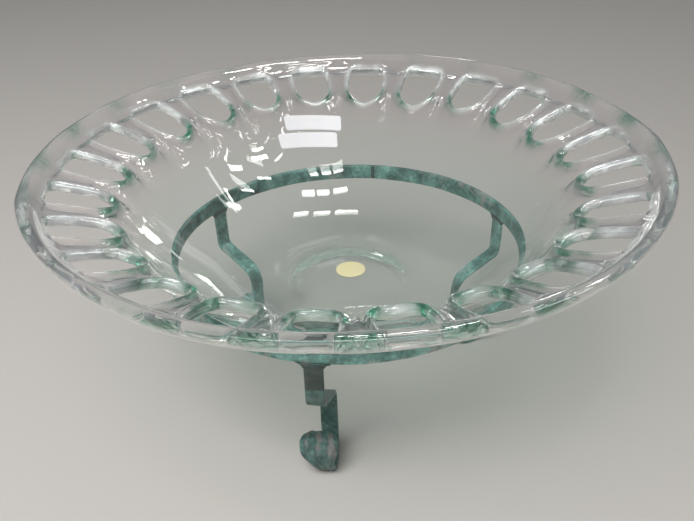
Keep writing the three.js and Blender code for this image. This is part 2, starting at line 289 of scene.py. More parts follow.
# ------------------------------------------------------------------ materials
def glass_material():
    """Hand-worked glass, driven by the bowl's attributes band, tone and lip: tone is a painted
    green tint, lip a painted highlight.
    """
    material, nodes = new_material("recycled_glass")
    coords = nodes.add("TexCoord", output="Object")
    backfacing = nodes.add("NewGeometry", output="Backfacing")
    path = nodes.node("LightPath").outputs
    band = nodes.attribute("band")
    painted_edge_tint = nodes.attribute("painted_edge_tint")

    # soft unevenness, a little stronger in the pierced band
    wave = nodes.noise(coords, scale=26.0, detail=1.5)
    strength = nodes.remap(band, source=(0.45, 1), target=(0.015, 0.16))
    normal = nodes.bump(wave, strength=strength, distance=0.0012)
    haze = nodes.noise(coords, scale=9.0, detail=6.0, roughness=0.7)
    roughness = nodes.remap(haze, source=(0.5, 0.85), target=(0.0, 0.04))

    # surface tint: almost clear, with a painted bottle green in the thick corners of the
    # openings, standing in for light's long path through glass seen edge-on
    mottle = nodes.noise(coords, scale=180.0, detail=2.0, distortion=0.6)
    mottle = nodes.remap(mottle, source=(0.36, 0.60), target=(0.45, 1.10))
    painted_greenness = nodes.math("MULTIPLY", painted_edge_tint, mottle, clamp=True)
    pale = nodes.mix_colour(band, (0.985, 1.0, 0.993, 1), (1.0, 0.975, 0.98, 1))
    tint = nodes.mix_colour(painted_greenness, pale, (0.05, 0.40, 0.25, 1))
    glass = nodes.add("BsdfGlass", {
        "Color": tint,
        "Roughness": roughness,
        "IOR": nodes.remap(band, target=(1.48, 1.27)),
        "Normal": normal})

    # the mirror part of the outer skin, at the full index of glass
    shine = nodes.add("BsdfGlossy", {"Color": (1, 1, 1, 1), "Roughness": 0.0, "Normal": normal})
    fresnel = nodes.add("Fresnel", {"IOR": 1.5, "Normal": normal})
    front = nodes.math("SUBTRACT", 1.0, backfacing)
    mirror = nodes.math("MULTIPLY", front, fresnel)
    gain = nodes.remap(band, source=(0.55, 1), target=(0.15, 2.6))
    mirror = nodes.math("MULTIPLY", mirror, gain, clamp=True)
    skin = nodes.mix_shader(mirror, glass, shine)

    # the fire-polished edges round the openings get a painted highlight: a pale white diffuse
    # mixed with a rough gloss
    lip = nodes.attribute("lip")
    patches = nodes.noise(coords, scale=75.0, detail=2.0)
    painted_white = nodes.add("BsdfDiffuse", {"Color": (0.93, 0.98, 0.96, 1)})
    satin = nodes.add("BsdfGlossy", {"Color": (0.95, 1.0, 0.98, 1), "Roughness": 0.26})
    painted_sheen = nodes.mix_shader(0.5, painted_white, satin)
    patches = nodes.remap(patches, source=(0.40, 0.62), target=(0.18, 0.68))
    amount = nodes.math("MULTIPLY", lip, patches)
    amount = nodes.math("MULTIPLY", amount, front)
    edge = nodes.mix_shader(amount, skin, painted_sheen)

    # light caught inside the sheet leaves it after a few turns instead of ending as black
    late = nodes.math("GREATER_THAN", path["Ray Depth"], 4.5)
    escape = nodes.add("BsdfTransparent", {"Color": (0.975, 0.985, 0.98, 1)})
    deep = nodes.mix_shader(late, edge, escape)

    # shadow rays pass straight through, dimmed most where the sheet is seen edge-on
    facing = nodes.add("LayerWeight", {"Blend": 0.35}, output="Facing")
    dimming = nodes.mix_colour(facing, (0.955, 0.975, 0.965, 1), (0.62, 0.72, 0.68, 1))
    clear = nodes.add("BsdfTransparent", {"Color": dimming})
    nodes.add("VolumeAbsorption", {"Color": (0.10, 0.82, 0.61, 1), "Density": 4.0})
    absorption = nodes.tree.nodes[-1].outputs["Volume"]
    surface = nodes.mix_shader(path["Is Shadow Ray"], deep, clear)
    nodes.node("OutputMaterial", {"Surface": surface, "Volume": absorption})
    return material


def iron_material(name, shade=1.0):
    """Verdigris paint on hammered iron; shade scales its brightness."""
    material, nodes = new_material(name)
    coords = nodes.add("TexCoord", output="Object")

    def shaded(*rgb):
        return tuple(value * shade for value in rgb) + (1,)

    clouds = nodes.noise(coords, scale=60, detail=5, roughness=0.6, distortion=0.5)
    paint = nodes.ramp(clouds, [
        (0.28, shaded(0.016, 0.032, 0.028)),
        (0.44, shaded(0.045, 0.098, 0.086)),
        (0.56, shaded(0.085, 0.170, 0.152)),
        (0.72, shaded(0.170, 0.270, 0.250))])
    grain = nodes.noise(coords, scale=430, detail=3, roughness=0.6)
    grain_tint = nodes.ramp(grain, [(0.36, (0.50, 0.50, 0.52, 1)), (0.62, (1.15, 1.15, 1.15, 1))])
    paint = nodes.mix_colour(0.75, paint, grain_tint, blend="MULTIPLY")

    # dark, soot-like blotches
    blotch = nodes.noise(coords, scale=24, detail=3, roughness=0.5, distortion=0.3)
    blotch = nodes.ramp(blotch, [(0.52, (1, 1, 1, 1)), (0.66, (0.36, 0.38, 0.37, 1))])
    paint = nodes.mix_colour(0.85, paint, blotch, blend="MULTIPLY")

    # worn brown-grey: patches, and the crests of the foot's ridges
    pointiness = nodes.add("NewGeometry", output="Pointiness")
    crest = nodes.remap(pointiness, source=(0.50, 0.60))
    ridge = nodes.attribute("ridge")
    patch = nodes.noise(coords, scale=40, detail=5, roughness=0.65, distortion=0.8)
    worn = nodes.math("MULTIPLY_ADD", crest, 0.10, patch)
    worn = nodes.math("MULTIPLY_ADD", ridge, 0.15, worn)
    worn = nodes.ramp(worn, [(0.57, (0, 0, 0, 1)), (0.68, (1, 1, 1, 1))])
    worn = nodes.math("MULTIPLY", worn, 0.80)
    paint = nodes.mix_colour(worn, paint, shaded(0.175, 0.165, 0.160))

    # painted shadow of the rim: dark paint where a piece has it
    painted_rim_shadow = nodes.math("MULTIPLY_ADD", patch, 0.25, nodes.attribute("painted_rim_shadow"))
    painted_rim_shadow = nodes.remap(painted_rim_shadow, source=(0.50, 0.60), target=(0.0, 0.72))
    paint = nodes.mix_colour(painted_rim_shadow, paint, (0.030, 0.036, 0.030, 1))

    roughness = nodes.remap(grain, source=(0.3, 0.7), target=(0.28, 0.62))
    hammer = nodes.noise(coords, scale=150, detail=2, roughness=0.5)
    dents = nodes.bump(hammer, strength=0.55, distance=0.0010)
    normal = nodes.bump(grain, strength=0.5, distance=0.0003, Normal=dents)
    surface = nodes.add("BsdfPrincipled", {
        "Base Color": paint,
        "Roughness": roughness,
        "Metallic": 0.12,
        "Specular IOR Level": 0.55,
        "Coat Weight": 0.25,
        "Coat Roughness": 0.22,
        "Normal": normal})
    nodes.node("OutputMaterial", {"Surface": surface})
    return material


def paper_material(name, colour, roughness, stain):
    material, nodes = new_material(name)
    coords = nodes.add("TexCoord", output="Object")
    cloud = nodes.noise(coords, scale=120.0, detail=5.0)
    cloud = nodes.remap(cloud, source=(0.4, 0.75))
    cloud = nodes.math("MULTIPLY", cloud, 0.35)
    fibre = nodes.noise(coords, scale=1800.0, detail=2.0)
    surface = nodes.add("BsdfPrincipled", {
        "Base Color": nodes.mix_colour(cloud, colour, stain),
        "Normal": nodes.bump(fibre, strength=0.25, distance=0.0001),
        "Roughness": roughness})
    nodes.node("OutputMaterial", {"Surface": surface})
    return material


GLASS = glass_material()
IRON = iron_material("verdigris_paint")
# a painted-lit copy of the paint, 2.5 times brighter, for the ring and back legs: painted light
# standing in for what reaches them through the glass
IRON_PAINTED_LIT = iron_material("verdigris_paint_painted_lit", shade=2.5)
WELD = iron_material("weld_paint", shade=0.55)
LABEL = paper_material("label_paper", colour=(0.93, 0.94, 0.96, 1), roughness=0.42,
                       stain=(0.84, 0.86, 0.90, 1))
STICKER = paper_material("sticker_paper", colour=(0.84, 0.79, 0.47, 1), roughness=0.6,
                         stain=(0.74, 0.70, 0.42, 1))

# ------------------------------------------------------------------ bowl: the wall
# middle line of the glass from rim to centre: radius, height
WALL_LINE = [
    (190, 166.4), (184.6, 164.7), (165, 158.9), (150.6, 154.3), (145.6, 150.9), (137.6, 140.1),
    (126.6, 126.1), (114.9, 112.7), (101, 99.2), (87.5, 88.4), (75, 82.2), (60, 79.3),
    (46, 79.4), (36, 81.1), (25, 84.3), (11, 85.9), (0, 86.0),
]


def wall_middle():
    """Radii in rising order, with the height and the upward normal at each."""
    line = smooth_curve(WALL_LINE, per_span=30)
    line[:, 1] += BOWL_LIFT
    tangent = np.gradient(line, axis=0)
    tangent /= np.linalg.norm(tangent, axis=1)[:, None]
    normal = np.c_[tangent[:, 1], -tangent[:, 0]]
    normal = np.where(normal[:, 1:] < 0, -normal, normal)
    order = np.argsort(line[:, 0])
    return line[order, 0], line[order, 1], normal[order, 0], normal[order, 1]


MID_R, MID_Z, MID_NORMAL_R, MID_NORMAL_Z = wall_middle()


def warp(points):
    """The small irregularities of hand-made glass, as a smooth move of every point."""
    x, y, z = points[..., 0], points[..., 1], points[..., 2]
    az, r = np.arctan2(y, x), np.hypot(x, y)
    growth = (r / 200) ** 3
    dz = growth * (0.55 * np.sin(2 * az + 0.6) + 0.35 * np.sin(5 * az + 2.0)
                   + 0.22 * np.sin(11 * az + 0.4))
    dr = growth * (0.35 * np.sin(3 * az + 1.0) + 0.25 * np.sin(7 * az + 2.4) - 0.45)
    return np.stack([x + dr * np.cos(az), y + dr * np.sin(az), z + dz], -1)


def ripple(r, az):
    """Waves that shift both faces of the wall together, fading out towards the centre."""
    seed = 1.3
    waves = (0.07 * np.sin(4 * az + 0.045 * r + seed)
             + 0.04 * np.sin(9 * az - 0.07 * r + 2.1 * seed)
             + 0.02 * np.sin(15 * az + 0.11 * r + 0.7 * seed))
    return waves * smooth(r, 20, 60)


def top_height(r, az):
    """Height of the upper, inner face above the middle surface."""
    return 2.55 + 0.5 * smooth(r, 112, 140) + ripple(r, az)


def under_height(r, az):
    """Depth of the underside below the middle surface, with a foot ring round a dome."""
    foot = 1.2 * smooth(r, 34.5, 43.0) * (1 - smooth(r, 50, 80))
    dome = -0.6 * (1 - smooth(r, 26, 39))
    return 2.6 + 0.55 * smooth(r, 112, 140) + foot + dome - ripple(r, az)


def wall_points(r, az, height):
    """Points of the middle surface, moved by height along its upward normal."""
    z = np.interp(r, MID_R, MID_Z)
    normal_z = np.interp(r, MID_R, MID_NORMAL_Z)
    moved_r = r + np.interp(r, MID_R, MID_NORMAL_R) * height
    return np.stack([moved_r * np.cos(az), moved_r * np.sin(az), z + normal_z * height], -1)


def face_points(r, az, side):
    """Points on the wall's upper face (side 1) or its underside (side -1)."""
    height = top_height(r, az) if side > 0 else under_height(r, az)
    return wall_points(r, az, side * height)


# ------------------------------------------------------------------ bowl: the pierced rim
HOLES = 24
SEG = 8  # mesh columns across an opening, and rows along it
COLS = HOLES * SEG
PITCH = 2 * math.pi / HOLES
PITCH_DEG = 360 / HOLES
FIRST_AZ = math.radians(98.6)  # azimuth of the first opening
BAND_OUT, BAND_IN = 191.0, 136.5  # radii between which the openings' cells lie
# the rim's oval section: centre radius, half width, half height, rise per mm outwards
OVAL_R, OVAL_HALF_W, OVAL_HALF_H, OVAL_RISE = 193.2, 6.8, 6.1, 0.64
RIM_ROWS = 17

# straight outer end of an opening: distance beyond its line, place as a part of the half width
OUTER_END = np.array([
    (-1.6, -0.955), (-0.15, -0.80), (0, -0.57), (0, -0.30), (0, 0),
    (0, 0.30), (0, 0.57), (-0.15, 0.80), (-1.6, 0.955),
])
# rows across an opening's lip, from the sheet's upper face round the edge to its underside:
# distance from the opening's edge, height off the middle surface
LIP = [
    (6.6, 2.62), (4.7, 3.25), (3.0, 4.0), (1.5, 3.85), (0.45, 2.75), (-0.05, 1.2),
    (-0.1, -0.4), (0.4, -1.9), (1.5, -3.0), (3.0, -3.35), (5.0, -2.95),
]
# radii of the mesh rows from the pierced band in to the centre, closer round the foot ring
WALL_ROWS = [
    131, 125.5, 120, 114.5, 109, 103.5, 98, 92.5, 87, 81.5, 76, 70.5, 65, 59.5, 54.5, 50,
    46.3, 43.2, 41.0, 39.4, 37.8, 36, 33.5, 30, 25.5, 20.5, 15, 9.5, 4.5,
]
CENTRE_HEIGHT = {1: 2.75, -1: 2.25}  # of each face at the centre, off the middle surface

COL_AZ = FIRST_AZ - PITCH / 2 + np.arange(COLS) * PITCH / SEG
COL_TURN = (COL_AZ - FIRST_AZ) / PITCH  # whole at an opening's middle, half at a strap's


class Cage:
    """Points and faces of the bowl, with two colouring values for each point: a painted green
    tint and a painted highlight.
    """

    def __init__(self):
        self.points, self.faces, self.green, self.painted_lip_highlight = [], [], [], []

    def add(self, points, green=0.0, painted_lip_highlight=0.0):
        count = len(points)
        start = len(self.points)
        self.points.extend(np.asarray(points, float).tolist())
        self.green.extend(np.broadcast_to(green, count))
        self.painted_lip_highlight.extend(np.broadcast_to(painted_lip_highlight, count))
        return np.arange(start, start + count)

    def join(self, first, second):
        """Quads between two closed rows."""
        for i in range(len(first)):
            j = (i + 1) % len(first)
            self.faces.append((first[i], first[j], second[j], second[i]))


def oval_z(r, side):
    """Height of the top (side 1) or bottom (side -1) of the rim's oval section."""
    across = np.clip((r - OVAL_R) / OVAL_HALF_W, -1, 1)
    half = OVAL_HALF_H * np.sqrt(np.maximum(0, 1 - across * across))
    return RIM_Z + side * half + OVAL_RISE * (r - OVAL_R)


def rim_row(t):
    """Points round the rim at angle t (radians) of its oval section."""
    c, s = math.cos(t), math.sin(t)
    deg = math.degrees(t)
    # the rim is fuller where a strap runs into it
    knot = bell((COL_TURN % 1 - 0.5) * PITCH_DEG, 3.0)
    knot_size = 0.6 + 0.4 * np.sin(2.3 * np.round(COL_TURN - 0.5) + 1.0)
    groove = 0.055 * bell(deg - 38, 13) + 0.035 * bell(deg + 42, 14)
    grow = 1 - groove + 0.085 * knot * knot_size * (0.4 + 0.6 * max(c, 0))
    r = OVAL_R + OVAL_HALF_W * c * grow + 0.12 * np.sin(13 * COL_AZ + 3 * s)
    z = RIM_Z + OVAL_HALF_H * s * grow + OVAL_RISE * OVAL_HALF_W * c
    return np.stack([r * np.cos(COL_AZ), r * np.sin(COL_AZ), z], -1)


def rim_painted_green(t):
    """Painted green dashes along the -X and +X sides of the rim, one near each strap, standing in
    for light's long path through the rim seen edge-on.
    """
    along = bell(((COL_TURN + 0.22) % 1 - 0.5) * PITCH_DEG, 2.6)
    along = along * np.abs(np.cos(COL_AZ)) ** 1.2
    across = bell(math.degrees(t) - 2, 52)
    return 1.3 * along * across * (0.65 + 0.35 * np.sin(5.3 * np.round(COL_TURN) + 0.4))


def strap_middle(r, az, side):
    """The line down the middle of a strap, on its upper face or underside."""
    height = (2.3 if side > 0 else 2.45) + 0.45 * (1 - smooth(r, 140, 150))
    points = wall_points(r, az, side * height)
    # a soft limit well off the strap, which moves it by about a hundredth of a millimetre
    limit = side * oval_z(OVAL_R - OVAL_HALF_W, side) - 30
    points[:, 2] = side * soft_max(side * points[:, 2], limit)
    return points


def opening_outline():
    """An opening's edge along (column 0) and across (column 1) its own axis, counter-clockwise.

    Also gives the outward normals and the random draws that vary the opening.
    """
    vary = RNG.normal(size=6)
    outer_r = 186.35 + 0.2 * vary[0]
    arc_r, arc_radius = 160.9 + 0.7 * vary[1], 12.5 + 0.35 * vary[2]
    half_width = 14.0 + 0.4 * vary[3]
    skew = 0.4 * vary[4]
    outer = OUTER_END * np.array([1, half_width]) + np.array([outer_r, 0])
    part = np.linspace(0, 1, SEG + 1)[1:-1]
    start_u, start_v = outer[-1]
    flank = np.c_[start_u + (arc_r - start_u) * part,
                  start_v + (arc_radius - start_v) * part + 0.55 * np.sin(np.pi * part)]
    angle = np.radians(np.linspace(90, 270, SEG + 1))
    arc = np.c_[arc_r + arc_radius * np.cos(angle), arc_radius * np.sin(angle)]
    arc[:, 0] -= 0.4 * np.cos(np.radians(np.linspace(-90, 90, SEG + 1)))
    loop = np.vstack([outer, flank, arc, flank[::-1] * np.array([1, -1])])
    loop[:, 1] += skew * (1 - smooth(loop[:, 0], 150, 180))

    tangent = np.roll(loop, -1, 0) - np.roll(loop, 1, 0)
    tangent /= np.linalg.norm(tangent, axis=1)[:, None]
    normal = np.c_[tangent[:, 1], -tangent[:, 0]]
    centre = np.array([170, 0])
    normal *= np.sign(np.sum(normal * (loop - centre), axis=1))[:, None]
    return loop, normal, vary


def add_lip_row(cage, k, outline, distance, height):
    """One row round opening k, at a distance outside its edge."""
    loop, normal, vary = outline
    az = FIRST_AZ + k * PITCH
    index = np.arange(len(loop))
    side = 1 if height > 0 else -1
    # along the straight outer end the rows lie closer together
    outer_end = smooth(loop[:, 0], 181.5, 185.2)
    uv = loop + normal * (distance * (1 - outer_end * 0.42))[:, None]
    # the row must stay inside its cell at the straps
    r = np.hypot(uv[:, 0], uv[:, 1])
    limit = PITCH / 2 * 0.94
    point_az = az + np.clip(np.arctan2(uv[:, 1], uv[:, 0]), -limit, limit)

    inner_end = 1 - smooth(loop[:, 0], 150, 158)
    knuckle = 0.55 * inner_end * bell(distance - 2.6, 1.8) if height > 0 else 0
    tool_marks = 0.16 * np.sin(index * 1.9 + 7 * vary[0]) * bell(distance - 1.2, 1.6)
    fatness = 1 + 0.10 * vary[5] if abs(height) > 3.0 else 1.0
    points = wall_points(r, point_az, height * fatness + knuckle + tool_marks)

    # along the outer end the lip is the inner side of the rim itself
    rim_z = oval_z(np.maximum(r, OVAL_R - OVAL_HALF_W * 0.999), side)
    z = points[:, 2]
    blended = side * soft_max(side * z, side * rim_z, 0.8)
    weight = smooth(r, 186.2, 188.2)
    points[:, 2] = z + (blended - z) * weight * (1 if distance > 1.0 else 0)
    moved_r = np.hypot(points[:, 0], points[:, 1])
    points[:, :2] *= ((moved_r + (r - moved_r) * weight) / moved_r)[:, None]

    # painted bottle green where the glass edge is seen sideways on, at the inner ends, standing
    # in for light's long path through the sheet
    sideways = np.abs(normal[:, 0] * math.cos(az) - normal[:, 1] * math.sin(az))
    arms_painted_green = 1.35 * smooth(sideways, 0.45, 0.90) * (1 - smooth(loop[:, 0], 154, 166))
    arms_painted_green = arms_painted_green * (0.85 + 0.15 * np.sin(2.3 * k + index)) * (1.0 if height > -2.5 else 0.4)
    arms_painted_green = arms_painted_green * bell(distance - 1.2, 2.4)
    # and painted green along the flanks of the openings nearest the camera
    near_painted_green = smooth(-np.sin(point_az), 0.45, 0.90) * smooth(np.abs(normal[:, 1]), 0.55, 0.92)
    near_painted_green = near_painted_green * smooth(loop[:, 0], 149, 156) * (1 - smooth(loop[:, 0], 167, 177))
    near_painted_green = 1.5 * near_painted_green * (1.0 if height > -1 else 0.3) * bell(distance - 1.5, 2.8)
    near_painted_green = near_painted_green * (0.75 + 0.25 * np.sin(1.7 * index + 3 * k))
    green = np.maximum(arms_painted_green, near_painted_green)

    # painted highlight along the lips, weaker on the underside and where the green tint is
    # painted
    painted_lip_highlight = bell(distance - 0.8, 2.2) * (1.0 if height > -1 else 0.45)
    painted_lip_highlight = painted_lip_highlight * (0.8 + 0.2 * np.sin(1.7 * (len(cage.points) + index)))
    painted_lip_highlight = painted_lip_highlight * (1 - 0.95 * np.minimum(green, 1.0))
    far_painted_highlight = 1 + 0.75 * smooth(np.sin(point_az), -0.35, 0.5)  # the painted highlight is stronger on the far lips
    return cage.add(points, green, painted_lip_highlight * far_painted_highlight)


def bowl_cage():
    cage = Cage()

    # the rim, from its upper inner edge over the outside to its lower inner edge
    edge = math.acos((BAND_OUT - OVAL_R) / OVAL_HALF_W)
    rim_rows = [cage.add(rim_row(t), rim_painted_green(t)) for t in np.linspace(edge, -edge, RIM_ROWS)]
    for first, second in zip(rim_rows[:-1], rim_rows[1:]):
        cage.join(first, second)
    outer = {1: rim_rows[0], -1: rim_rows[-1]}

    # the other rows that neighbouring cells share
    inner_r = np.full(COLS, BAND_IN)
    inner = {side: cage.add(face_points(inner_r, COL_AZ, side)) for side in (1, -1)}
    strap_r = BAND_OUT + (BAND_IN - BAND_OUT) * (np.arange(1, SEG) / SEG)
    strap = {}
    for side in (1, -1):
        for k in range(HOLES):
            az = np.full(SEG - 1, FIRST_AZ + (k + 0.5) * PITCH)
            strap[side, k] = cage.add(strap_middle(strap_r, az, side))

    def cell_loop(k, side):
        """Round the cell of opening k, counter-clockwise from its first outer corner."""
        cols = [(SEG * k + i) % COLS for i in range(SEG + 1)]
        return (list(outer[side][cols]) + list(strap[side, k])
                + list(inner[side][cols[::-1]]) + list(strap[side, (k - 1) % HOLES][::-1]))

    for k in range(HOLES):
        outline = opening_outline()
        rows = [cell_loop(k, 1)]
        rows += [add_lip_row(cage, k, outline, *row) for row in LIP]
        rows.append(cell_loop(k, -1))
        for first, second in zip(rows[:-1], rows[1:]):
            cage.join(first, second)

    # wall and base
    for side in (1, -1):
        previous = inner[side]
        for r in WALL_ROWS:
            row = cage.add(face_points(np.full(COLS, float(r)), COL_AZ, side))
            cage.join(previous, row)
            previous = row
        z = np.interp(0.0, MID_R, MID_Z) + side * CENTRE_HEIGHT[side]
        centre = cage.add([(0, 0, z)])[0]
        for i in range(COLS):
            cage.faces.append((previous[i], previous[(i + 1) % COLS], centre))
    return cage


def add_bowl():
    cage = bowl_cage()
    points = np.array(cage.points)
    mesh = bpy.data.meshes.new("bowl_glass")
    fill_mesh(mesh, warp(points), cage.faces)

    # one winding for the whole closed surface
    bm = bmesh.new()
    bm.from_mesh(mesh)
    bmesh.ops.recalc_face_normals(bm, faces=bm.faces)
    if bm.calc_volume(signed=True) < 0:
        bmesh.ops.reverse_faces(bm, faces=bm.faces)
    bm.to_mesh(mesh)
    bm.free()
    shade_smooth(mesh)

    bowl = add_object("bowl_glass", mesh)
    add_subdivision(bowl)
    r = np.hypot(points[:, 0], points[:, 1])
    add_attribute(mesh, "band", smooth(r, 126, 148))
    # tone carries the painted green tint, lip the painted highlight
    add_attribute(mesh, "painted_edge_tint", cage.green)
    add_attribute(mesh, "lip", cage.painted_lip_highlight)
    mesh.materials.append(GLASS)
    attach(bowl, "bowl")
    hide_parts("glass_bowl")


add_bowl()

# ------------------------------------------------------------------ labels and sticker
LABEL_LENGTH, LABEL_HEIGHT, LABEL_CORNER = 46.0, 12.0, 1.6
LABEL_COLS, LABEL_ROWS = 46, 12
LABEL_LAYERS = (0.06, 0.20)  # heights of the paper's two faces above the glass
STICKER_RINGS = [0.0, 3, 6, 8.5, 9.6, 9.95]
STICKER_SEG = 64
STICKER_LAYERS = (0.05, 0.19)


def side_radius(z):
    """Radius of the middle surface at a height on the bowl's side."""
    on_side = (MID_R > 80) & (MID_R < 160)
    return np.interp(z, MID_Z[on_side], MID_R[on_side])


def add_label(name, node, azimuths, top, bottom, corner_lift):
    """A strip on the inside of the wall; each pair gives its first and last end."""
    along, down = np.meshgrid(np.linspace(0, 1, LABEL_COLS), np.linspace(0, 1, LABEL_ROWS))
    az = np.radians(azimuths[0] + (azimuths[1] - azimuths[0]) * along)
    # rounded corners: the long edges draw in near the ends
    x = along * LABEL_LENGTH
    from_end = np.minimum(x, LABEL_LENGTH - x)
    arc = np.sqrt(np.maximum(0, LABEL_CORNER ** 2 - (LABEL_CORNER - from_end) ** 2))
    inset = np.where(from_end < LABEL_CORNER, LABEL_CORNER - arc, 0) / LABEL_HEIGHT
    down_cut = inset + down * (1 - 2 * inset)
    z_top = BOWL_LIFT + top[0] + (top[1] - top[0]) * along
    z_bottom = BOWL_LIFT + bottom[0] + (bottom[1] - bottom[0]) * along
    z = z_top + (z_bottom - z_top) * down_cut
    # the inner face at this height belongs to a lower point of the middle surface
    r = side_radius(z - 2.2)
    curl = 0.25 * smooth(along, 0.93, 1.0) * smooth(down, 0.5, 0) * corner_lift
    curl = np.maximum(curl + 0.06 * np.sin(9 * along + 3 * down), 0)
    verts = []
    for layer in LABEL_LAYERS:
        points = warp(wall_points(r, az, top_height(r, az) + layer + curl))
        verts += points.reshape(-1, 3).tolist()

    count = LABEL_COLS * LABEL_ROWS
    grid = np.arange(count).reshape(LABEL_ROWS, LABEL_COLS)
    faces = []
    for j in range(LABEL_ROWS - 1):
        for i in range(LABEL_COLS - 1):
            a, b = grid[j, i:i + 2]
            d, c = grid[j + 1, i:i + 2]
            faces.append((a, b, c, d))
            faces.append((count + a, count + d, count + c, count + b))
    border = np.concatenate([grid[0], grid[1:, -1], grid[-1, -2::-1], grid[-2:0:-1, 0]])
    for a, b in zip(border, np.roll(border, -1)):
        faces.append((a, count + a, count + b, b))
    add_piece(name, verts, wound_outward(verts, faces), "bowl", node, LABEL)


def add_sticker():
    """The round sticker on the floor of the bowl."""
    centre_x = (sticker_lo.x + sticker_hi.x) / 2 / MM
    centre_y = (sticker_lo.y + sticker_hi.y) / 2 / MM
    verts = []
    for layer, height in enumerate(STICKER_LAYERS):
        for ring in STICKER_RINGS:
            angle = np.linspace(0, 2 * np.pi, STICKER_SEG if ring else 1, endpoint=False)
            x = centre_x + ring * np.cos(angle)
            y = centre_y + ring * np.sin(angle)
            r, az = np.hypot(x, y), np.arctan2(y, x)
            softened = 0.75 if layer == 1 and ring >= 9.8 else 1.0  # the upper edge dips
            lift = top_height(r, az) + height * softened
            verts += warp(wall_points(r, az, lift)).tolist()

    per_layer = 1 + STICKER_SEG * (len(STICKER_RINGS) - 1)
    faces = []
    for centre in (0, per_layer):
        for i in range(STICKER_SEG):
            j = (i + 1) % STICKER_SEG
            faces.append((centre, centre + 1 + i, centre + 1 + j))
            for ring in range(len(STICKER_RINGS) - 2):
                a = centre + 1 + ring * STICKER_SEG
                b = a + STICKER_SEG
                faces.append((a + i, b + i, b + j, a + j))
    low = per_layer - STICKER_SEG
    high = low + per_layer
    for i in range(STICKER_SEG):
        j = (i + 1) % STICKER_SEG
        faces.append((low + i, high + i, high + j, low + j))
    sticker = add_piece("round_sticker", verts, faces, "bowl", "base_sticker",
                        STICKER)
    face_outward(sticker.data)


add_label("label_strip_upper", "label_upper", azimuths=(90.8, 109.6),
          top=(146.2, 150.0), bottom=(136.3, 140.1), corner_lift=1)
add_label("label_strip_lower", "label_lower", azimuths=(92.4, 113.0),
          top=(135.6, 139.0), bottom=(125.8, 129.2), corner_lift=0)
add_sticker()

# ------------------------------------------------------------------ stand: legs
UPPER_W, LOWER_W = 11.5, 11.0  # bar width at the ring and lower down
LOWER_R = 84.0  # distance of the lower upright from the axis
BEND_TOP_Z = 73.0  # where the leg leaves its upper upright
UPPER_BEND, LOWER_BEND = 6.0, 16.0  # bend radii either side of the slope
SLOPE = 25.5  # degrees below level
# the foot is a scroll that curls outwards and up; its angles are in degrees, with 180 on the
# side nearest the axis and 270 at the bottom
SCROLL_R, SCROLL_END_R = 12.0, 10.6
SCROLL_END = 180 + 292.0
SCROLL_TIGHTEN = 380  # its radius starts to shrink here
FLAT = 8.0  # half angle of the worn flat it stands on
FOOT_W, WIDEST = 24.2, 414.0
GROOVE = 1.0  # depth of the grooves between the foot's three ridges
CORNER = 0.7

# a place on the bar's line: radius, height, direction of travel, section, and how far along
# the lower part, the foot's drift and the foot it is
Station = namedtuple("Station", "r z dr dz width thick groove edge below drift foot")


def bar_section(width, thick, groove, edge):
    """Outline of the bar: across it, and out of its show face.

    The show face is towards the axis on the uprights and outside the curl on the foot.
    Grooves leave three rounded ridges on it.
    """
    half_w, half_t = width / 2, thick / 2
    corner = min(CORNER, half_t * 0.9)
    low = -half_t
    show = []
    for y in np.linspace(-1, 1, 19)[::-1]:
        ridge = 0.5 + 0.5 * math.cos(3 * math.pi * y)  # peaks at 0 and +-2/3
        drop = groove * (1 - ridge) + edge * max(0.0, (abs(y) - 0.667) / 0.333) ** 2
        show.append((y * (half_w - corner), half_t - drop))
    top = show[-1][1]
    flank = [
        (-half_w + 0.25 * corner, top - 0.30 * corner),
        (-half_w, max(low + corner, min(top - corner, 0.3 * half_t))),
        (-half_w, min(low + corner, 0)),
        (-half_w + 0.3 * corner, low + 0.3 * corner),
    ]
    back = [(y * (half_w - corner), low) for y in np.linspace(-1, 1, 7)]
    return np.array(show + flank + back + [(-y, n) for y, n in reversed(flank)])


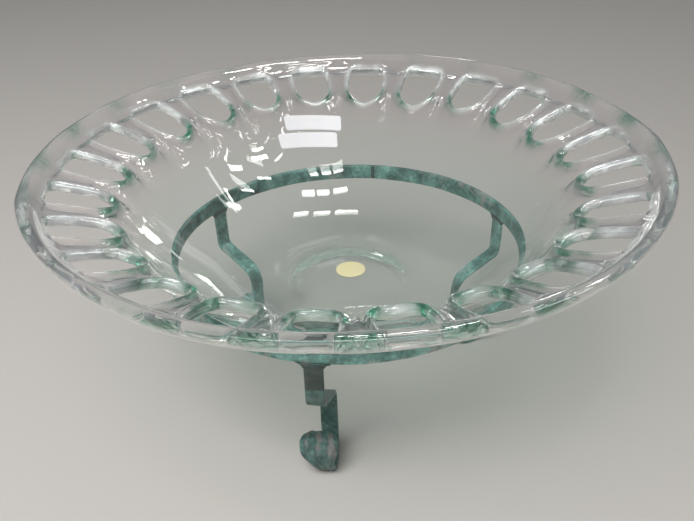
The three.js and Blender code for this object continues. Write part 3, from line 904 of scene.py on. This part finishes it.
def leg_stations():
    stations = []

    def add(r, z, dr, dz, width=None, thick=BAR_T, groove=0.0, edge=0.0, drift=0.0, foot=0.0):
        length = math.hypot(dr, dz)
        below = 1.0
        if z >= LOWER_R / 2:
            below = float(smooth(RING_MID - r, 2, RING_MID - LOWER_R - 1))
        width = width or UPPER_W + (LOWER_W - UPPER_W) * below
        stations.append(Station(r, z, dr / length, dz / length, width, thick, groove, edge,
                                below, drift, foot))

    # upper upright and bend
    for z in np.linspace(RING_BOTTOM + 0.2, BEND_TOP_Z, 9)[:-1]:
        add(RING_MID, z, 0, -1)
    bend = 90 - SLOPE
    for i in range(9):
        a = math.radians(bend * i / 8)
        add(RING_MID - UPPER_BEND * (1 - math.cos(a)), BEND_TOP_Z - UPPER_BEND * math.sin(a),
            -math.sin(a), -math.cos(a))

    # slope
    top_r, top_z = stations[-1].r, stations[-1].z
    a_end = math.radians(bend)
    low_r = LOWER_R + LOWER_BEND * (1 - math.cos(a_end))
    low_z = top_z - (top_r - low_r) * math.tan(math.radians(SLOPE))
    for i in range(1, 7):
        part = i / 7
        add(top_r + (low_r - top_r) * part, top_z + (low_z - top_z) * part,
            low_r - top_r, low_z - top_z)

    # lower bend and upright
    for i in range(13):
        a = math.radians(bend * (1 - i / 12))
        add(LOWER_R + LOWER_BEND * (1 - math.cos(a)),
            low_z - LOWER_BEND * (math.sin(a_end) - math.sin(a)), -math.sin(a), -math.cos(a))
    centre_r = LOWER_R + SCROLL_R
    centre_z = (SCROLL_R + BAR_T / 2) * math.cos(math.radians(FLAT))
    for z in np.linspace(stations[-1].z, centre_z, 9)[1:-1]:
        add(LOWER_R, z, 0, -1)

    # scroll foot
    for deg in list(np.arange(180, SCROLL_END - 1, 5.6)) + [SCROLL_END]:
        widening = float(smooth(deg, 298, 416))
        foot = float(smooth(deg, 288, 345))
        tighten = min(1, max(0, (deg - SCROLL_TIGHTEN) / (SCROLL_END - SCROLL_TIGHTEN)))
        radius = SCROLL_R + (SCROLL_END_R - SCROLL_R) * tighten
        rounding = math.sqrt(1 - ((deg - WIDEST) / 84) ** 2) if deg > WIDEST else 1
        c, s = math.cos(math.radians(deg)), math.sin(math.radians(deg))
        on_flat = abs(deg - 270) < FLAT
        add(centre_r + radius * c, BAR_T / 2 if on_flat else centre_z + radius * s, -s, c,
            width=(LOWER_W + (FOOT_W - LOWER_W) * widening) * rounding,
            thick=BAR_T - 0.5 * tighten,
            groove=GROOVE * foot * (1 - 0.3 * float(smooth(deg, 455, SCROLL_END))),
            edge=0.75 * foot,
            drift=float(smooth(deg, 285, 400)),
            foot=foot)
    return stations


def name_seed(name):
    seed = 7
    for letter in name:
        seed = (seed * 31 + ord(letter)) % 1000003
    return seed


def add_leg(node, az_deg, twist, foot_drift):
    name = node.replace("leg", "scroll_leg")
    is_front = node == "leg_front"
    phase = np.random.default_rng(name_seed(name)).uniform(0, 6.28, 6)
    az = math.radians(az_deg)
    rows, ridge, painted_rim_shadow = [], [], []
    for i, at in enumerate(leg_stations()):
        section = bar_section(at.width, at.thick, at.groove, at.edge)
        # hammered unevenness of the flat bar, none where it meets the floor
        uneven = 0.07 * math.sin(i * 0.55 + phase[0]) + 0.05 * math.sin(i * 1.3 + phase[1])
        y = section[:, 0] * (1 + 0.012 * math.sin(i * 0.8 + phase[2])) + foot_drift * at.drift
        n = section[:, 1] + uneven * (0 if at.z < 4 else 1) * np.sign(section[:, 1])
        # the lower part is twisted about its own upright
        x, y = turn_about_z(at.r + at.dz * n - LOWER_R, y, math.radians(twist * at.below))
        x, y = turn_about_z(LOWER_R + x, y, az)
        z = at.z - at.dr * n
        rows.append(np.stack([x, y, np.maximum(z, 0.0)], -1))
        # how far each point stands on one of the foot's three ridges
        across = section[:, 0] / (at.width / 2)
        crest = np.clip(0.5 + 0.5 * np.cos(3 * np.pi * across), 0, 1) * (section[:, 1] > 0)
        ridge.append(at.foot * crest * smooth(z, 15, 26))
        # painted shadow of the rim, on the front leg's upper part only
        painted_rim_shadow.append(np.clip((z - 76) / 12, 0, 1) * (1.0 if is_front else 0.0))

    # round the free end a little: part of the full section, distance beyond the end
    end = rows[-1]
    centre = end.mean(0)
    onward = centre - rows[-2].mean(0)
    onward /= np.linalg.norm(onward)
    for size, beyond in ((0.95, 0.5), (0.80, 0.85)):
        rows.append(centre + (end - centre) * size + onward * beyond)
        ridge.append(ridge[-1])
        painted_rim_shadow.append(painted_rim_shadow[-1])

    faces = capped_loft_faces(len(rows), len(end))
    # the back legs take the painted-lit copy of the paint
    leg = add_piece(name, np.vstack(rows), faces, "stand", node,
                    IRON if is_front else IRON_PAINTED_LIT, subdivide=True)
    add_attribute(leg.data, "ridge", np.concatenate(ridge))
    add_attribute(leg.data, "painted_rim_shadow", np.concatenate(painted_rim_shadow))
    face_outward(leg.data)


# ------------------------------------------------------------------ stand: ring and welds
HOOP_STATIONS = 288
HOOP_GAP = math.radians(0.5)  # half the opening at the seam
HOOP_CORNER, HOOP_CHAMFER = 0.55, 0.15
FILLET_REACH, FILLET_DROP = 4.4, 4.6  # beyond the leg's edges, and below the ring


def hoop_section():
    """Outline of the ring's bar: out from its middle line, up from its bottom."""
    half_t = BAR_T / 2
    outside = [(half_t - HOOP_CORNER, 0), (half_t - HOOP_CHAMFER, HOOP_CHAMFER),
               (half_t, HOOP_CORNER)]
    outside += [(half_t, RING_H * part) for part in (0.3, 0.5, 0.7)]
    outside += [(half_t, RING_H - HOOP_CORNER), (half_t - HOOP_CHAMFER, RING_H - HOOP_CHAMFER),
                (half_t - HOOP_CORNER, RING_H)]
    inside = [(-x, z) for x, z in reversed(outside)]
    return inside[-1:] + [(0, 0)] + outside + [(0, RING_H)] + inside[:-1]


def add_hoop():
    """The flat-bar ring, slightly uneven and open at the seam."""
    section = hoop_section()
    verts = []
    for a in np.linspace(SEAM_AZ + HOOP_GAP, SEAM_AZ + 2 * math.pi - HOOP_GAP, HOOP_STATIONS):
        bulge = 0.10 * math.sin(9 * a + 1) + 0.07 * math.sin(23 * a)
        sag = 0.10 * math.sin(14 * a + 0.5)
        for x, z in section:
            r = RING_MID + x + bulge * (1 if x > 0 else 0.3)
            verts.append((*turn_about_z(r, 0, a), RING_BOTTOM + z + (sag if z < 1 else 0)))
    faces = capped_loft_faces(HOOP_STATIONS, len(section))
    # the ring takes the painted-lit copy of the paint
    hoop = add_piece("hoop_flat_bar", verts, faces, "stand", "stand_ring",
                     IRON_PAINTED_LIT)
    face_outward(hoop.data)


def add_weld(name, rows, node):
    """A closed lumpy weld: lofted rows with a middle point at each end."""
    across = len(rows[0])
    verts = [point for row in rows for point in row]
    verts += [tuple(np.mean(rows[0], 0)), tuple(np.mean(rows[-1], 0))]
    first, last = len(verts) - 2, len(verts) - 1
    faces = loft_faces(len(rows), across)
    end = (len(rows) - 1) * across
    for j in range(across):
        k = (j + 1) % across
        faces.append((first, j, k))
        faces.append((last, end + j, end + k))
    weld = add_piece(name, verts, faces, "stand", node, WELD, subdivide=True)
    face_outward(weld.data)


def add_seam_weld():
    """The upright bead that closes the ring's seam."""
    def squared(value):
        return math.copysign(abs(value) ** 0.7, value)

    rows = []
    for i, z in enumerate(np.linspace(0.15, RING_H - 0.15, 15)):
        lump = 0.22 * abs(math.sin(i * 1.35))
        half_w = 1.45 + 0.5 * lump
        half_t = BAR_T / 2 + 0.35 + lump
        if i in (0, 14):
            half_w *= 0.7
            half_t *= 0.8
        row = []
        for j in range(16):
            a = 2 * math.pi * j / 16
            x, y = squared(math.cos(a)) * half_t, squared(math.sin(a)) * half_w
            row.append((*turn_about_z(RING_MID + x, y, SEAM_AZ), RING_BOTTOM + z))
        rows.append(row)
    add_weld("seam_weld", rows, "ring_butt_weld")


def add_leg_weld(node, az_deg):
    """The fillet under the ring, on both edges and both faces of a leg's top."""
    name = node.replace("leg", "fillet_weld")
    rng = np.random.default_rng(name_seed(name))
    az = math.radians(az_deg)
    half_w, half_t = UPPER_W / 2, BAR_T / 2
    reach, drop = FILLET_REACH, FILLET_DROP
    across = np.concatenate([
        np.linspace(-half_w - reach, -half_w, 9)[:-1],
        np.linspace(-half_w, half_w, 11),
        np.linspace(half_w, half_w + reach, 9)[1:]])
    rows = []
    for i, y in enumerate(across):
        over = max(0.0, abs(y) - half_w)
        fade = 1 - float(smooth(over, 0, reach))
        if over > 0:
            depth = drop * (1 - (over / reach)) ** 2.1
            low = half_t * (1 - 0.25 * over / reach)
        else:
            depth = drop * 0.62 + drop * 0.38 * (abs(y) / half_w) ** 6
            low = half_t + 0.12
        depth = max(depth, 0.35)
        lump = 0.16 * math.sin(i * 1.9 + rng.uniform(0, 1)) + 0.08 * rng.normal()
        depth += 0.35 * lump * (1 if over < reach * 0.8 else 0.2)
        top = half_t + 0.55 * fade + 0.12 * lump + 0.05
        lap = 0.9 * fade + 0.1  # how far it laps onto the ring's faces
        # out from the ring's middle line, up from its bottom
        outline = [
            (-low, -depth), (-top * 0.98, -depth * 0.45), (-top, 0.0), (-half_t - 0.06, lap),
            (0, lap * 0.6),
            (half_t + 0.06, lap), (top, 0.0), (top * 0.98, -depth * 0.45), (low, -depth),
            (0, -depth - 0.1),
        ]
        rows.append([(*turn_about_z(RING_MID + x, y, az), RING_BOTTOM + z) for x, z in outline])
    add_weld(name, rows, node.replace("leg", "weld"))


for leg_node, (leg_az, leg_twist, leg_drift) in LEGS.items():
    add_leg(leg_node, leg_az, leg_twist, leg_drift)
add_hoop()
add_seam_weld()
for leg_node, (leg_az, _, _) in LEGS.items():
    add_leg_weld(leg_node, leg_az)


# ------------------------------------------------------------------ floor (metres from here on)
def add_floor():
    count, half_size = 24, 6.0
    mesh = bpy.data.meshes.new("floor")
    ticks = np.linspace(-half_size, half_size, count)
    verts = [(x, y, 0.0) for y in ticks for x in ticks]
    faces = []
    for j in range(count - 1):
        for i in range(count - 1):
            a = j * count + i
            faces.append((a, a + 1, a + count + 1, a + count))
    mesh.from_pydata(verts, [], faces)
    ob = add_object("floor", mesh)
    material, nodes = new_material("floor_pale")
    surface = nodes.add("BsdfPrincipled", {
        "Base Color": (0.62, 0.60, 0.57, 1), "Roughness": 0.9, "Specular IOR Level": 0.0})
    nodes.node("OutputMaterial", {"Surface": surface})
    mesh.materials.append(material)


add_floor()

# ------------------------------------------------------------------ lights
# a ceiling of short tubes in rows, more of them at +X, and one low behind the bowl:
# name, centre, direction of its length, length, width, brightness
TUBES = [
    ("row_a1", (0.293, -1.010, 2.086), (-0.968, -0.251, 0.012), 0.380, 0.021, 9),
    ("row_b1", (0.574, -0.790, 2.140), (-0.904, -0.417, 0.091), 0.147, 0.048, 20),
    ("row_b2", (0.357, -0.872, 2.155), (-0.957, -0.287, 0.042), 0.176, 0.045, 20),
    ("row_b3", (0.135, -0.930, 2.154), (-0.971, -0.233, -0.049), 0.195, 0.046, 20),
    ("row_c1", (0.698, -0.489, 2.199), (-0.892, -0.403, 0.206), 0.208, 0.072, 24),
    ("row_c2", (0.451, -0.589, 2.240), (-0.939, -0.327, 0.106), 0.232, 0.059, 24),
    ("row_c3", (0.102, -0.671, 2.257), (-0.990, -0.143, -0.000), 0.302, 0.062, 24),
    ("row_d1", (0.722, 0.118, 2.258), (-0.928, -0.158, 0.339), 0.228, 0.144, 24),
    ("row_d2", (0.407, 0.139, 2.343), (-0.981, -0.017, 0.192), 0.255, 0.144, 24),
    ("row_d3", (0.004, 0.115, 2.377), (-0.998, -0.066, 0.003), 0.375, 0.144, 24),
    ("left_1", (1.611, 0.486, 1.602), (0.564, -0.660, -0.497), 0.300, 0.050, 24),
    ("left_2", (1.654, -0.070, 1.616), (0.416, 0.803, -0.426), 0.236, 0.038, 24),
    ("left_3", (1.395, -0.512, 1.771), (-0.604, -0.746, 0.282), 0.300, 0.026, 24),
    ("left_4", (1.162, -0.747, 1.873), (-0.605, -0.794, 0.051), 0.211, 0.018, 24),
    ("left_6", (1.348, -0.304, 1.880), (-0.679, -0.597, 0.427), 0.232, 0.042, 24),
    ("left_7", (1.500, 0.094, 1.779), (-0.542, -0.644, 0.540), 0.240, 0.039, 24),
    ("left_8", (1.560, 0.558, 1.629), (-0.363, -0.679, 0.639), 0.239, 0.050, 24),
    ("low_back", (0.233, 1.230, 0.060), (-0.780, 0.000, -0.620), 0.165, 0.022, 26),
]
TUBE_TARGET = Vector((0, 0, 0.1))
TUBE_COLOUR = (1.0, 0.99, 0.97)
FILL_COLOUR = (1.0, 0.985, 0.965)
WINDOW_COLOUR = (0.97, 0.985, 1.0)


def area_light(name, location, rotation, size, colour, power=None, brightness=None):
    """A rectangular light, by its power or by its brightness per area."""
    length, width = size
    data = bpy.data.lights.new(name, "AREA")
    data.shape = "RECTANGLE"
    data.size, data.size_y = length, width
    data.energy = brightness * math.pi * length * width if power is None else power
    data.color = colour
    data.spread = math.pi
    light = add_object(name, data)
    light.location = location
    light.rotation_mode = "QUATERNION"
    light.rotation_quaternion = rotation
    return light


def aimed(location, target):
    return (Vector(target) - Vector(location)).to_track_quat("-Z", "Y")


def aimed_along(location, direction):
    """Aimed at the tubes' target, with the light's length along a direction."""
    z_axis = (Vector(location) - TUBE_TARGET).normalized()
    x_axis = Vector(direction)
    x_axis = (x_axis - z_axis * x_axis.dot(z_axis)).normalized()
    y_axis = z_axis.cross(x_axis)
    return Matrix((x_axis, y_axis, z_axis)).transposed().to_quaternion()


def add_lights():
    for name, location, direction, length, width, brightness in TUBES:
        tube = area_light("tube_" + name, location, aimed_along(location, direction),
                          size=(length, width), colour=TUBE_COLOUR, brightness=brightness)
        tube.visible_diffuse = False  # they only glint; the soft light does the lighting

    location = (-0.45, -0.85, 1.5)
    soft = area_light("soft_fill", location, aimed(location, (0, 0, 0.05)),
                      size=(1.2, 0.9), colour=FILL_COLOUR, power=30)
    soft.visible_glossy = False
    soft.visible_transmission = False

    # a long window in front, and one at +X: they only glint on the rim and the openings
    for name, location, size, brightness in [
            ("window_glint", (-0.2, -2.6, 1.05), (3.4, 0.75), 2.6),
            ("side_glint", (2.3, -1.0, 0.9), (1.1, 0.5), 4.0)]:
        window = area_light(name, location, aimed(location, (0, 0, 0.15)),
                            size=size, colour=WINDOW_COLOUR, brightness=brightness)
        window.visible_diffuse = False

    # paper lets a little light through: a faint lamp behind the labels stands in for it
    location = (-0.35, 1.25, 0.10)
    back = area_light("label_back_light", location, aimed(location, (-0.03, 0.12, 0.13)),
                      size=(0.6, 0.4), colour=FILL_COLOUR, power=9)
    back.visible_glossy = False
    back.visible_transmission = False
    papers = bpy.data.collections.new("label_papers")
    for ob in list(bpy.context.scene.objects):
        if ob.name.startswith("label_strip"):
            papers.objects.link(ob)
    back.light_linking.receiver_collection = papers


add_lights()


# ------------------------------------------------------------------ world
def add_world():
    """A room that is bright in front, dark behind, and grey overhead."""
    world = bpy.data.worlds.new("world")
    bpy.context.scene.world = world
    nodes = Nodes(world)
    direction = nodes.add("TexCoord", output="Generated")
    axes = nodes.node("SeparateXYZ", {"Vector": direction}).outputs
    room = nodes.ramp(nodes.remap(axes["Y"], source=(-1, 1)), [
        (0.0, (0.85, 0.86, 0.88, 1)),
        (0.35, (0.62, 0.63, 0.65, 1)),
        (0.55, (0.40, 0.41, 0.43, 1)),
        (0.8, (0.18, 0.19, 0.20, 1)),
        (1.0, (0.14, 0.145, 0.15, 1))])
    overhead = nodes.ramp(nodes.remap(axes["Z"], source=(0.05, 1)), [
        (0.0, (0, 0, 0, 1)), (0.45, (0.75, 0.75, 0.75, 1)), (1.0, (1, 1, 1, 1))])
    seen = nodes.mix_colour(overhead, room, (0.34, 0.345, 0.36, 1))
    # its diffuse light is weaker and even all round, so the floor falls off to grey at the
    # back and the object's back is lit about as much as its front
    lighting = nodes.mix_colour(overhead, (0.29, 0.293, 0.30, 1), (0.122, 0.124, 0.13, 1))
    surface = nodes.mix_shader(
        nodes.add("LightPath", output="Is Diffuse Ray"),
        nodes.add("Background", {"Color": seen}),
        nodes.add("Background", {"Color": lighting}))
    nodes.node("OutputWorld", {"Surface": surface})


add_world()

# ------------------------------------------------------------------ camera and render
SENSOR_WIDTH, FOCAL_LENGTH = 36.0, 44.298674
CAMERA_DOWN = math.radians(31.14)  # how far it looks below level
CAMERA_ROLL = -0.0335  # radians
CAMERA_PLACE = Vector((-0.00109, -0.49748, 0.22665 + RIM_Z * MM))


def add_camera():
    data = bpy.data.cameras.new("camera")
    camera = add_object("camera", data)
    bpy.context.scene.camera = camera
    data.sensor_width = SENSOR_WIDTH
    data.lens = FOCAL_LENGTH
    data.clip_start, data.clip_end = 0.01, 60
    c, s = math.cos(CAMERA_DOWN), math.sin(CAMERA_DOWN)
    right, up, backward = Vector((1, 0, 0)), Vector((0, s, c)), Vector((0, -c, s))
    x_axis = right * math.cos(CAMERA_ROLL) + up * math.sin(CAMERA_ROLL)
    y_axis = -right * math.sin(CAMERA_ROLL) + up * math.cos(CAMERA_ROLL)
    rotation = Matrix((x_axis, y_axis, backward)).transposed()
    camera.matrix_world = Matrix.Translation(CAMERA_PLACE) @ rotation.to_4x4()


add_camera()

scene = bpy.context.scene
scene.view_settings.view_transform = "Standard"
scene.view_settings.look = "None"
scene.cycles.max_bounces = 26
scene.cycles.glossy_bounces = 24  # a turn inside the glass counts as a glossy bounce
scene.cycles.transmission_bounces = 24
scene.cycles.transparent_max_bounces = 24
scene.cycles.caustics_reflective = False
scene.cycles.caustics_refractive = False
